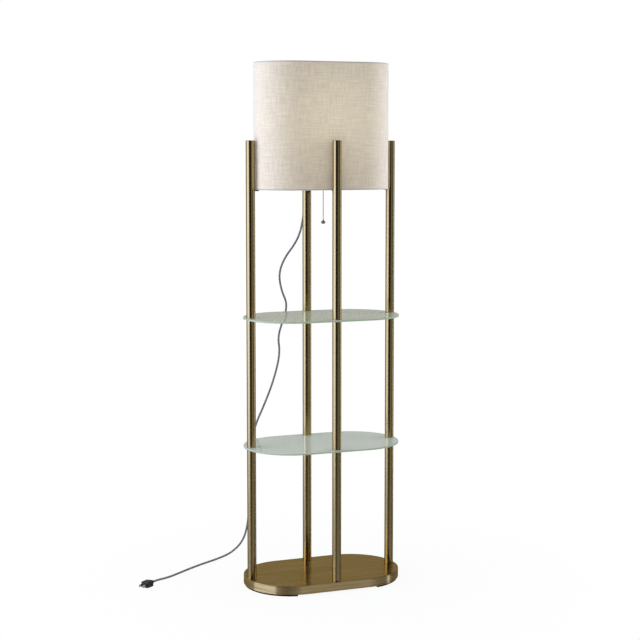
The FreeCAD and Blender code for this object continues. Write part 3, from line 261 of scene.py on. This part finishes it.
def grained(name, colour, grain, tone=0.12, rough=(0.3, 0.4), relief=0.1, depth=0.0002, cloud=9.0, **values):
    """A finish with a fine grain in the given direction and a slow change of tone over the piece."""
    made, tree, shader = material(name, **values)
    place = object_place(tree)
    fine = noise(tree, place, grain)
    slow = noise(tree, place, (cloud, cloud, cloud), detail=2.0)
    mixed = calc(tree, "ADD", calc(tree, "MULTIPLY", fine, 0.6), calc(tree, "MULTIPLY", slow, 0.4))
    light = spread(tree, mixed, 0.0, 1.0, 0.36, 0.64)
    toned = blended(tree, light, rgb(colour, 1 - tone), rgb(colour, 1 + tone))
    feed(tree, shader.inputs["Base Color"], toned)
    feed(tree, shader.inputs["Roughness"], spread(tree, mixed, *rough))
    bump(tree, shader, fine, relief, depth)
    return made


def surface_up(tree, low=0.4, high=0.7):
    """How far the surface faces up or down: 0 on walls, 1 on flat tops and undersides."""
    up = part_of(tree, node(tree, "NewGeometry").outputs["Normal"], "Z")
    return spread(tree, calc(tree, "ABSOLUTE", up), 0.0, 1.0, low, high)


def brass_tube():
    """Polished round the tube, so that lights stretch along it and stay narrow across it, and lacquered."""
    made = grained("post_brass", (0.41, 0.31, 0.14), (2400, 2400, 120), tone=0.05, rough=(0.17, 0.19),
                   relief=0.002, depth=0.00001, cloud=6.0, Metallic=1.0, Anisotropic=0.6, Coat_Weight=0.35,
                   Coat_Roughness=0.06, Specular_Tint=(0.9, 0.78, 0.52, 1))
    tree = made.node_tree
    flat = surface_up(tree)
    along = node(tree, "CombineXYZ", X=flat, Z=calc(tree, "SUBTRACT", 1.0, flat))
    feed(tree, tree.nodes["Principled BSDF"].inputs["Tangent"], along.outputs["Vector"])
    return made


def brass_sheet():
    """Brushed along the base: streaks along X on the top, and level streaks round the wall."""
    made, tree, shader = material("base_brass", Metallic=1.0, Anisotropic=0.9,
                                  Specular_Tint=(0.85, 0.7, 0.42, 1))
    place = object_place(tree)
    on_top = surface_up(tree)
    top_grain = noise(tree, place, (5, 900, 900), detail=4.0)
    wall_grain = noise(tree, place, (5, 5, 1100), detail=4.0)
    grain = blended(tree, on_top, wall_grain, top_grain)
    top_streaks = noise(tree, place, (4, 42, 42), detail=5.0, rough=0.65)
    wall_streaks = noise(tree, place, (5, 5, 150), detail=4.0, rough=0.65)
    streaks = blended(tree, on_top, wall_streaks, top_streaks)
    mixed = blended(tree, 0.65, grain, streaks)
    light = spread(tree, mixed, 0.0, 1.0, 0.4, 0.6)
    # painted light: the wall takes the lighter pair of colours
    toned = blended(tree, on_top, blended(tree, light, *PAINTED_LIGHT_WALL_BRASS), blended(tree, light, *TOP_BRASS))
    feed(tree, shader.inputs["Base Color"], toned)
    feed(tree, shader.inputs["Roughness"], spread(tree, mixed, 0.17, 0.26))
    across = node(tree, "CombineXYZ", Y=on_top, Z=calc(tree, "SUBTRACT", 1.0, on_top))
    feed(tree, shader.inputs["Tangent"], across.outputs["Vector"])
    bump(tree, shader, grain, 0.05, 0.00004)
    return made


def frosted_glass():
    """Polished on top, etched underneath, with pale green ground edges. The upper shelf is darker and warmer:
    painted shade and warm light.
    """
    made, tree, shader = material("shelf_glass", IOR=1.5, Transmission_Weight=0.22)
    place = object_place(tree)
    cloud = noise(tree, place, (8, 8, 8), detail=2.0)
    # painted shade and warm light: above the shelves' middle height the glass takes the warmer, darker
    # colours
    upper = spread(tree, part_of(tree, place, "Z"), 0.0, 1.0, *BETWEEN_SHELVES)
    etched = blended(tree, upper, blended(tree, cloud, *COOL_GLASS), blended(tree, cloud, *WARM_SHADED_GLASS))
    face = surface_up(tree, 0.6, 0.9)
    feed(tree, shader.inputs["Base Color"], blended(tree, face, GROUND_EDGE, etched))
    up = part_of(tree, node(tree, "NewGeometry").outputs["Normal"], "Z")
    under = spread(tree, up, 1.0, 0.0, -0.2, 0.9)
    grain = noise(tree, place, (900, 900, 900), detail=2.0)
    etching = calc(tree, "MULTIPLY", under, spread(tree, grain, 0.62, 0.72))
    feed(tree, shader.inputs["Roughness"], calc(tree, "ADD", etching, 0.03))
    return made


def linen(name, colour, rim_colour, levels=(0.81, 1.08), glow=None, **values):
    """Plain weave with slubs both ways, between two levels of its colour. The cloth's own map has metres
    round the shade and up it. The glow is painted: emission that stands in for the bulb's light through the
    cloth, strongest near the bulb."""
    made, tree, shader = material(name, **values)
    cloth = node(tree, "UVMap", uv_map="cloth").outputs["UV"]
    sway = calc(tree, "SUBTRACT", noise(tree, cloth, (260, 260, 1), detail=2.0), 0.5)
    sway = calc(tree, "MULTIPLY", sway, WEAVE * WEAVE_SWAY)
    waves = []
    for axis in ("X", "Y"):
        run = calc(tree, "ADD", part_of(tree, cloth, axis), sway)
        waves.append(calc(tree, "SINE", calc(tree, "MULTIPLY", run, math.pi / WEAVE)))
    over = calc(tree, "MULTIPLY", *waves)
    slubs = [noise(tree, cloth, scale) for scale in SLUB_SCALES]
    threads = [noise(tree, cloth, scale, detail=2.0) for scale in THREAD_SCALES]
    slub = calc(tree, "MULTIPLY", calc(tree, "ADD", *slubs), 0.5)
    thread = calc(tree, "MULTIPLY", calc(tree, "ADD", *threads), 0.5)
    coarse = spread(tree, slub, -0.5, 0.5, 0.37, 0.63)
    fine = spread(tree, thread, -0.2, 0.2, 0.38, 0.62)
    tone = calc(tree, "ADD", calc(tree, "ADD", coarse, fine), calc(tree, "MULTIPLY", over, 0.12))
    light = spread(tree, tone, 0.0, 1.0, -0.6, 0.6)
    body = blended(tree, light, *[rgb(colour, level) for level in levels])
    up = part_of(tree, cloth, "Y")
    from_rim = calc(tree, "MINIMUM", up, calc(tree, "SUBTRACT", SHADE_TOP - SHADE_BOTTOM, up))
    # darker along each rim, on the cloth and on the liner alike
    on_body = spread(tree, from_rim, 0.0, 1.0, *RIM_BAND)
    feed(tree, shader.inputs["Base Color"], blended(tree, on_body, rgb(rim_colour), body))
    bump(tree, shader, calc(tree, "ADD", calc(tree, "MULTIPLY", over, 0.35), slub), 0.5, 0.0003)
    if glow:
        # painted glow: emission that fades with distance from the bulb
        away = vector_calc(tree, "DISTANCE", object_place(tree), BULB_AT).outputs["Value"]
        feed(tree, shader.inputs["Emission Color"], rgb(glow))
        feed(tree, shader.inputs["Emission Strength"], spread(tree, away, PAINTED_GLOW, 0.0, *PAINTED_GLOW_REACH))
    return made


def braid():
    """A textile sleeve of dark strands with light flecks. Its map has metres along it and turns round it."""
    made, tree, shader = material("cord_braid", Roughness=0.8, Sheen_Weight=0.25, Sheen_Roughness=0.5)
    sleeve = node(tree, "UVMap", uv_map="sleeve").outputs["UV"]
    along = calc(tree, "MULTIPLY", part_of(tree, sleeve, "X"), 2 * math.pi / BRAID_PITCH)
    turned = calc(tree, "MULTIPLY", part_of(tree, sleeve, "Y"), 2 * math.pi * BRAID_STRANDS)
    left = calc(tree, "SINE", calc(tree, "ADD", along, turned))
    right = calc(tree, "SINE", calc(tree, "SUBTRACT", along, turned))
    strand = calc(tree, "MAXIMUM", left, right)
    fleck = spread(tree, calc(tree, "MULTIPLY", left, right), 0.0, 1.0, 0.45, 0.8)
    raised = spread(tree, strand, 0.0, 1.0, -0.2, 1.0)
    feed(tree, shader.inputs["Base Color"], blended(tree, fleck, blended(tree, raised, *STRANDS), FLECK))
    bump(tree, shader, strand, 0.7, 0.0004)
    return made


# Finishes that grained() makes as they stand: colour, grain along each axis, and other values.
FINISHES = {
    "ballast_iron": dict(colour=(0.035, 0.035, 0.036), grain=(320, 320, 320), tone=0.25, rough=(0.55, 0.8),
                         relief=0.6, depth=0.0006),
    "zinc_steel": dict(colour=(0.62, 0.62, 0.6), grain=(700, 700, 180), tone=0.08, rough=(0.3, 0.42),
                       Metallic=1.0),
    "foot_foam": dict(colour=(0.006, 0.006, 0.006), grain=(900, 900, 900), tone=0.3, rough=(0.75, 0.95),
                      relief=0.7, depth=0.0004, Specular_IOR_Level=0.05),
    "clear_washer": dict(colour=(0.8, 0.84, 0.8), grain=(500, 500, 500), tone=0.04, rough=(0.15, 0.25),
                         relief=0.02, Transmission_Weight=0.6, IOR=1.45),
    "carrier_bronze": dict(colour=(0.075, 0.055, 0.038), grain=(420, 420, 420), tone=0.18, rough=(0.32, 0.45),
                           relief=0.12, Metallic=0.6, Coat_Weight=0.2),
    "shade_wire": dict(colour=(0.68, 0.66, 0.62), grain=(600, 600, 600), tone=0.06, rough=(0.35, 0.5)),
    "socket_brass": dict(colour=(0.46, 0.37, 0.2), grain=(900, 900, 60), tone=0.1, rough=(0.22, 0.32),
                         Metallic=1.0),
    "socket_fibre": dict(colour=(0.14, 0.12, 0.1), grain=(500, 500, 900), tone=0.2, rough=(0.7, 0.9)),
    "socket_moulding": dict(colour=(0.03, 0.028, 0.027), grain=(500, 500, 500), tone=0.2),
    "contact_brass": dict(colour=(0.72, 0.54, 0.25), grain=(800, 800, 800), tone=0.08, rough=(0.25, 0.35),
                          Metallic=1.0),
    "bulb_glass": dict(colour=(0.93, 0.92, 0.89), grain=(300, 300, 300), tone=0.02, rough=(0.3, 0.36),
                       relief=0.02, Transmission_Weight=0.35, IOR=1.48),
    "bulb_metal": dict(colour=(0.8, 0.8, 0.79), grain=(700, 700, 200), tone=0.06, rough=(0.2, 0.3),
                       Metallic=1.0),
    "chain_metal": dict(colour=(0.44, 0.38, 0.3), grain=(900, 900, 900), tone=0.15, rough=(0.2, 0.32),
                        relief=0.05, Metallic=1.0),
    "lead_jacket": dict(colour=(0.025, 0.025, 0.026), grain=(500, 500, 500), tone=0.2, rough=(0.45, 0.6)),
    "bush_nylon": dict(colour=(0.022, 0.022, 0.023), grain=(600, 600, 600), tone=0.2, rough=(0.4, 0.55)),
    "plug_black": dict(colour=(0.02, 0.02, 0.021), grain=(800, 800, 800), tone=0.2, rough=(0.42, 0.58),
                       relief=0.25),
    "plug_metal": dict(colour=(0.7, 0.58, 0.33), grain=(300, 1200, 1200), tone=0.06, rough=(0.22, 0.34),
                       Metallic=1.0),
}
LOOKS = {name: grained(name, **values) for name, values in FINISHES.items()}
LOOKS["post_brass"] = brass_tube()
LOOKS["base_brass"] = brass_sheet()
LOOKS["shelf_glass"] = frosted_glass()
LOOKS["shade_linen"] = linen("shade_linen", (0.75, 0.65, 0.505), (0.5, 0.46, 0.41), glow=(1, 0.93, 0.55),
                             Roughness=0.9, Sheen_Weight=1.0, Sheen_Roughness=0.4, Transmission_Weight=0.15)
LOOKS["cord_braid"] = braid()
LINER = linen("shade_liner", (0.84, 0.82, 0.77), (0.6, 0.57, 0.5), levels=(0.93, 1.02), Roughness=0.55,
              Transmission_Weight=0.2)

for row in frame["record"]["subparts"]:
    mesh = NODES[row["node"]].data
    mesh.materials.clear()
    mesh.materials.append(LOOKS[row["material_slot"]])


# ---- Pieces ----

def add_object(name, data):
    made = bpy.data.objects.new(name, data)
    bpy.context.scene.collection.objects.link(made)
    return made


def mesh_piece(name, verts, faces, look, body, uv_name, uvs):
    """A smooth piece on one body, with a map that has one place for each corner of each face."""
    mesh = bpy.data.meshes.new(name)
    mesh.from_pydata([tuple(v) for v in verts], [], faces)
    layer = mesh.uv_layers.new(name=uv_name)
    for loop, uv in zip(layer.data, uvs):
        loop.uv = uv
    mesh.materials.append(look)
    mesh.shade_smooth()
    piece = add_object(name, mesh)
    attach(piece, body)
    return piece


def outline_length():
    return 4 * SHADE_FLAT + 2 * math.pi * SHADE_END_R


def outline_point(along):
    """The place and outward direction on the shade's outline, this far round from the middle of its back."""
    half_turn = math.pi * SHADE_END_R
    along %= outline_length()
    side = -1 if along < outline_length() / 2 else 1
    along = min(along, outline_length() - along)
    turn = min(max(0.0, along - SHADE_FLAT), half_turn) / SHADE_END_R
    middle = Vector((side * min(along, SHADE_FLAT, 2 * SHADE_FLAT + half_turn - along), 0, 0))
    outward = Vector((side * math.sin(turn), math.cos(turn), 0))
    return middle + outward * SHADE_END_R, outward


def offset_profile(path, thickness):
    """A closed outline of a sheet whose middle follows the path."""
    sides = ([], [])
    for i, here in enumerate(path):
        before = path[max(i - 1, 0)]
        after = path[min(i + 1, len(path) - 1)]
        run = Vector((after[0] - before[0], after[1] - before[1]))
        run.normalize()
        for side, sign in zip(sides, (1, -1)):
            side.append((here[0] + sign * run.y * thickness / 2, here[1] - sign * run.x * thickness / 2))
    return sides[0] + sides[1][::-1]


def wall_round(name, profile, look, lap=0.0):
    """A profile of (outward offset, height) pairs carried round the shade, overlapping itself by the lap."""
    total = outline_length() + lap
    count = round(total / OUTLINE_STEP)
    size = len(profile)
    verts, faces, uvs = [], [], []
    for i in range(count + 1):
        along = total * i / count - lap
        lift = SEAM_LIFT * min(1.0, max(0.0, -along / (SEAM_RAMP * lap))) if lap else 0.0
        spot, outward = outline_point(along)
        for offset, height in profile:
            verts.append(spot + outward * (offset + lift) + Vector((0, 0, height)))
    for i in range(count):
        for j in range(size):
            k = (j + 1) % size
            a, b = i * size, (i + 1) * size
            faces.append((a + j, a + k, b + k, b + j))
            for ring, spot in ((i, j), (i, k), (i + 1, k), (i + 1, j)):
                uvs.append((total * ring / count, profile[spot][1] - SHADE_BOTTOM))
    faces += [tuple(range(size)), tuple(reversed(range(count * size, (count + 1) * size)))]
    uvs += [(0.0, height - SHADE_BOTTOM) for _, height in profile]
    uvs += [(total, height - SHADE_BOTTOM) for _, height in reversed(profile)]
    return mesh_piece(name, verts, faces, look, "shade", "cloth", uvs)


def cloth_path():
    """The middle line of the cloth in section: round the bottom wire, up the wall and round the top wire."""
    wire = SHADE_BOTTOM + RING_R
    wall = -CLOTH / 2
    hem = []
    for degrees in HEM_UNDER:
        turn = math.radians(degrees)
        hem.append((-RING_IN - HEM_WRAP * math.cos(turn), wire - HEM_WRAP * math.sin(turn)))
    for degrees in HEM_OUTWARD:
        turn = math.radians(degrees)
        hem.append((-RING_IN + (RING_IN + wall) * math.sin(turn), wire - HEM_WRAP * math.cos(turn)))
    hem += [(wall + out, wire + up) for out, up in HEM_RIDGE]
    top_hem = [(out, SHADE_BOTTOM + SHADE_TOP - height) for out, height in reversed(hem)]
    rise = (SHADE_TOP - SHADE_BOTTOM) / WALL_STEPS
    return hem + [(wall, SHADE_BOTTOM + rise * i) for i in range(1, WALL_STEPS)] + top_hem


def shade_pieces():
    """The linen, turned over the wire rings and lapped at the back, and the stiff liner inside it."""
    cloth = wall_round("shade_cloth", offset_profile(cloth_path(), CLOTH), LOOKS["shade_linen"], SEAM_LAP)
    low, high = SHADE_BOTTOM + LINER_EDGE, SHADE_TOP - LINER_EDGE
    section = [(-LINER_OUT, low), (-LINER_OUT, high), (-LINER_IN, high), (-LINER_IN, low)]
    liner = wall_round("shade_liner", section, LINER)
    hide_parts("shade_wall")
    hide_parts("shade_wall")


def route_points(points):
    """The line of one smooth NURBS spline through the route's points."""
    curve = bpy.data.curves.new("cord_route", "CURVE")
    curve.dimensions = "3D"
    curve.resolution_u = ROUTE_STEPS
    spline = curve.splines.new("NURBS")
    spline.points.add(len(points) - 1)
    for spot, point in zip(spline.points, points):
        spot.co = (*point, 1.0)
    spline.order_u = 3
    spline.use_endpoint_u = True
    holder = bpy.data.objects.new("cord_route", curve)
    line = bpy.data.meshes.new_from_object(holder)
    spots = [v.co.copy() for v in line.vertices]
    bpy.data.objects.remove(holder)
    bpy.data.meshes.remove(line)
    return spots


def cord_piece():
    """A tube along the spline, with a map of metres along it and turns round it."""
    spots = route_points(CORD_POINTS)
    last = len(spots) - 1
    along = [0.0]
    for before, after in zip(spots, spots[1:]):
        along.append(along[-1] + (after - before).length)
    verts, faces, uvs = [], [], []
    side = Vector((0, 0, 1))
    for i, spot in enumerate(spots):
        run = (spots[min(i + 1, last)] - spots[max(i - 1, 0)]).normalized()
        side = (side - run * side.dot(run)).normalized()
        other = run.cross(side)
        for j in range(CORD_SIDES):
            turn = 2 * math.pi * j / CORD_SIDES
            verts.append(spot + (side * math.cos(turn) + other * math.sin(turn)) * CORD_R)
    for i in range(last):
        for j in range(CORD_SIDES):
            k = (j + 1) % CORD_SIDES
            a, b = i * CORD_SIDES, (i + 1) * CORD_SIDES
            faces.append((a + j, b + j, b + k, a + k))
            for ring, turn in ((i, j), (i + 1, j), (i + 1, j + 1), (i, j + 1)):
                uvs.append((along[ring], turn / CORD_SIDES))
    end = last * CORD_SIDES
    faces += [tuple(reversed(range(CORD_SIDES))), tuple(range(end, end + CORD_SIDES))]
    uvs += [(0.0, 0.0)] * CORD_SIDES + [(along[-1], 0.0)] * CORD_SIDES
    cord = mesh_piece("free_cord", verts, faces, LOOKS["cord_braid"], "frame", "sleeve", uvs)
    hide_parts("cord")


shade_pieces()
cord_piece()


# ---- Camera, lights, floor and world ----

def add_camera():
    data = bpy.data.cameras.new("camera")
    data.lens = CAMERA_LENS
    data.shift_y = CAMERA_SHIFT
    data.clip_end = CAMERA_REACH
    camera = add_object("camera", data)
    camera.location = CAMERA_AT
    camera.rotation_euler = (math.radians(90 - CAMERA_PITCH), 0, math.radians(-CAMERA_YAW))
    bpy.context.scene.camera = camera


def add_softbox(name, turn, distance, height, width, tall, radiance, colour=COOL_LIGHT):
    """A rectangular area light that faces the lamp's axis. Metal shows the world's images instead."""
    data = bpy.data.lights.new(name, "AREA")
    data.shape = "RECTANGLE"
    data.size = width
    data.size_y = tall
    data.energy = radiance * math.pi * width * tall
    data.color = colour
    light = add_object(name, data)
    outward = FACING * math.cos(math.radians(turn)) + RIGHTWARD * math.sin(math.radians(turn))
    light.location = outward * distance + Vector((0, 0, height))
    light.rotation_euler = outward.to_track_quat("Z", "Y").to_euler()
    light.visible_camera = False
    light.visible_glossy = False


def floor_look():
    """Matt near the lamp, where it takes the shadow, and plain white far from it for rays that see white."""
    made = bpy.data.materials.new("floor")
    made.use_nodes = True
    tree = made.node_tree
    tree.nodes.clear()
    far = vector_calc(tree, "LENGTH", object_place(tree)).outputs["Value"]
    white = spread(tree, far, *FLOOR_WHITE, *FLOOR_FADE)
    mix = node(tree, "MixShader")
    feed(tree, mix.inputs[0], calc(tree, "MULTIPLY", ray_sees_white(tree, node(tree, "LightPath")), white))
    feed(tree, mix.inputs[1], node(tree, "BsdfDiffuse", Color=FLOOR_COLOUR).outputs[0])
    feed(tree, mix.inputs[2], node(tree, "Emission", Color=WHITE, Strength=1.0).outputs[0])
    node(tree, "OutputMaterial", Surface=mix.outputs[0])
    return made


def add_floor():
    """A round white floor with a faint shadow. Its edge meets the white world, and metal doesn't show it."""
    turns = [2 * math.pi * i / FLOOR_SIDES for i in range(FLOOR_SIDES)]
    mesh = bpy.data.meshes.new("floor")
    mesh.from_pydata([(FLOOR_R * math.cos(turn), FLOOR_R * math.sin(turn), 0) for turn in turns], [],
                     [tuple(range(FLOOR_SIDES))])
    mesh.materials.append(floor_look())
    floor = add_object("floor", mesh)
    floor.visible_glossy = False


def circle_share(degrees):
    """Where a direction is on the way round, from 0 at -180 degrees to 1 at 180."""
    return (degrees + 180) / 360


def grey_ramp(tree, place, stops):
    """Grey levels at the given directions round the lamp."""
    ramp = node(tree, "ValToRGB", Fac=place)
    elements = ramp.color_ramp.elements
    while len(elements) < len(stops):
        elements.new(0.5)
    for element, (degrees, level) in zip(elements, stops):
        element.position = circle_share(degrees)
        element.color = (level, level, level, 1)
    return ramp.outputs["Color"]


def with_image(tree, studio, place, height, turn, half, colour):
    """The studio with the image of a softbox, this far to either side of its direction. It ends just above
    eye level: upright metal shows it, and the tops of the shelves and base only by way of the posts."""
    away = calc(tree, "ABSOLUTE", calc(tree, "SUBTRACT", place, circle_share(turn)))
    across = spread(tree, away, 1.0, 0.0, (half - IMAGE_EDGE) / 360, (half + IMAGE_EDGE) / 360)
    above = spread(tree, height, 0.0, 1.0, *IMAGE_BOTTOM)
    mirrored_twice = calc(tree, "GREATER_THAN", node(tree, "LightPath").outputs["Glossy Depth"], 1.5)
    below = calc(tree, "MAXIMUM", mirrored_twice, spread(tree, height, 1.0, 0.0, *IMAGE_TOP))
    return blended(tree, calc(tree, "MULTIPLY", across, calc(tree, "MULTIPLY", above, below)), studio, colour)


def add_world():
    """White to the camera and through glass. Metal shows a studio: pale behind, dark on the camera's side,
    with less contrast below, where its table is, and with the images of two softboxes."""
    world = bpy.data.worlds.new("studio")
    world.use_nodes = True
    bpy.context.scene.world = world
    tree = world.node_tree
    tree.nodes.clear()
    direction = node(tree, "TexCoord").outputs["Generated"]
    to_right, to_camera = [
        vector_calc(tree, "DOT_PRODUCT", direction, axis).outputs["Value"] for axis in (RIGHTWARD, FACING)
    ]
    place = spread(tree, calc(tree, "ARCTAN2", to_right, to_camera), 0.0, 1.0, -math.pi, math.pi)
    height = part_of(tree, direction, "Z")
    below = spread(tree, height, 0.0, 1.0, *TABLE_RIM)
    studio = blended(tree, below, grey_ramp(tree, place, ROOM), grey_ramp(tree, place, TABLE))
    for image in SOFTBOX_IMAGES:
        studio = with_image(tree, studio, place, height, *image)
    path = node(tree, "LightPath")
    soft = blended(tree, path.outputs["Is Glossy Ray"], AMBIENT, studio)
    shown = blended(tree, ray_sees_white(tree, path), soft, WHITE)
    back = node(tree, "Background", Color=shown, Strength=1.0)
    node(tree, "OutputWorld", Surface=back.outputs[0])


add_camera()
add_softbox("left_softbox", turn=-67, distance=1.9, height=1.0, width=2.3, tall=2.4, radiance=1.85,
            colour=(0.87, 0.99, 1.34))
add_softbox("right_strip", turn=101, distance=1.9, height=0.55, width=0.3, tall=3.2, radiance=2.2)
add_softbox("left_fill", turn=-80, distance=0.9, height=1.3, width=0.7, tall=0.9, radiance=0.7)
add_softbox("right_fill", turn=97, distance=0.9, height=1.3, width=0.6, tall=0.9, radiance=1.8)
add_floor()
add_world()
bpy.context.scene.view_settings.view_transform = "Standard"
